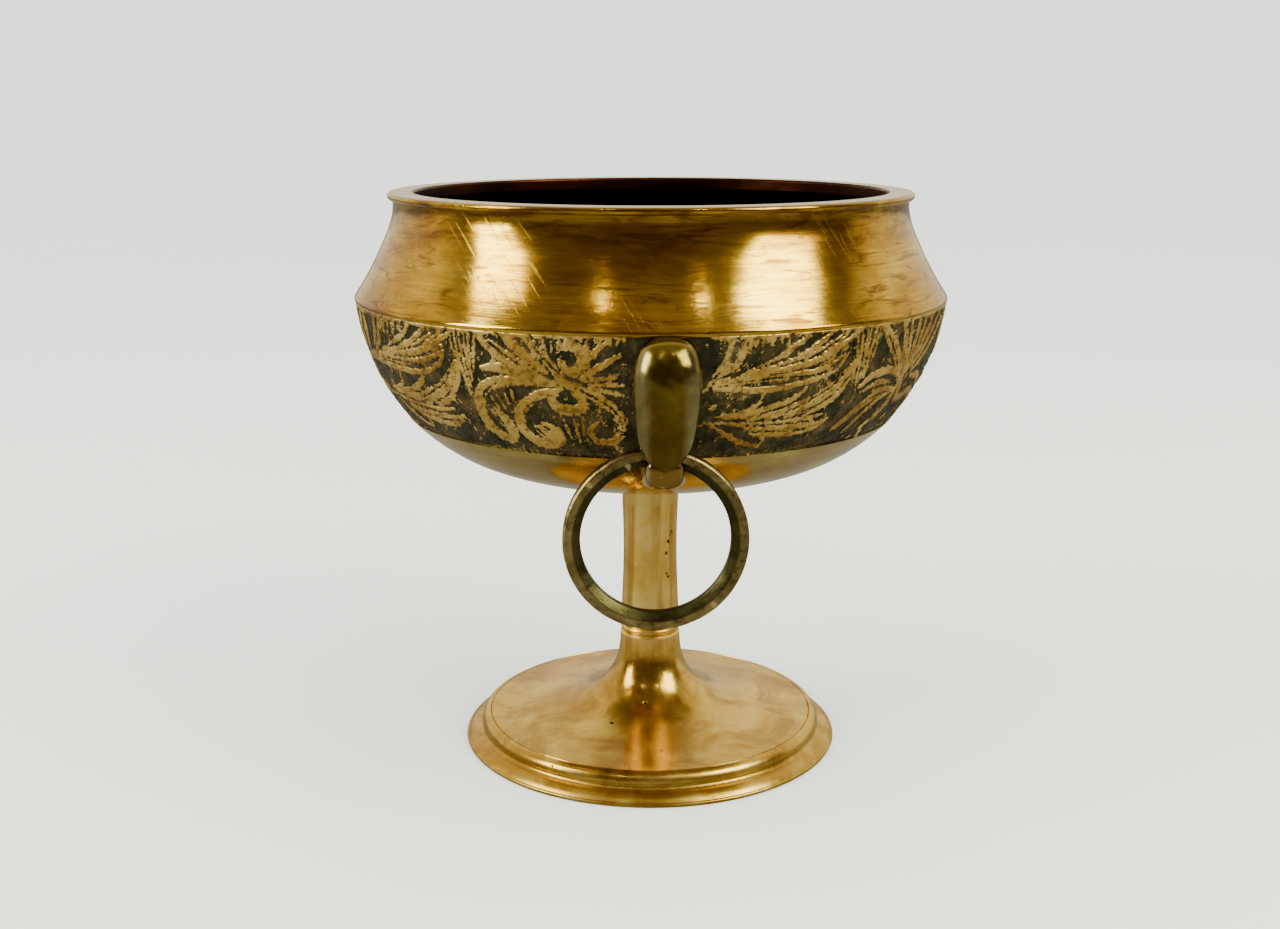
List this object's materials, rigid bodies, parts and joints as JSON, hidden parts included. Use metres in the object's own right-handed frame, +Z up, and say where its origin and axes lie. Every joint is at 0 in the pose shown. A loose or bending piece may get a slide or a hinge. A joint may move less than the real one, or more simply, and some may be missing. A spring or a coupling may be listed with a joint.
{
  "type": "footed brass bowl with ring handles",
  "caption": "Footed brass bowl with an etched leaf band, a turned stem and trumpet foot, and two loose drop-ring handles.",
  "frame": {"origin": "centre of the foot's resting face, on the axis that the bowl is turned about", "axes": "+Z up along the bowl's axis, -Y towards the front hook and ring, +X to the right seen from the front"},
  "size_m": [0.127, 0.1384, 0.1235],
  "materials": {
    "polished_brass": "polished",
    "etched_brass": "satin",
    "aged_brass": "satin",
    "ring_brass": "satin",
    "stem_brass": "satin",
    "fastener_brass": "satin"
  },
  "bodies": {
    "root": {"bowl": "polished_brass", "stem": "stem_brass", "foot": "stem_brass", "tie_rod": "fastener_brass", "foot_washer": "fastener_brass", "foot_nut": "fastener_brass", "front_hook": "aged_brass", "rear_hook": "aged_brass", "front_hook_rivets": "fastener_brass", "rear_hook_rivets": "fastener_brass"},
    "front_ring": {"front_ring": "ring_brass"},
    "rear_ring": {"rear_ring": "ring_brass"}
  },
  "joints": [
    {"name": "front_ring_swing", "type": "hinge", "parent": "root", "child": "front_ring", "pos_m": [0, -0.0585, 0.07837], "axis": [-1, 0, 0], "range_deg": [-45, 165]},
    {"name": "rear_ring_swing", "type": "hinge", "parent": "root", "child": "rear_ring", "pos_m": [0, 0.0585, 0.07837], "axis": [1, 0, 0], "range_deg": [-45, 165]}
  ]
}
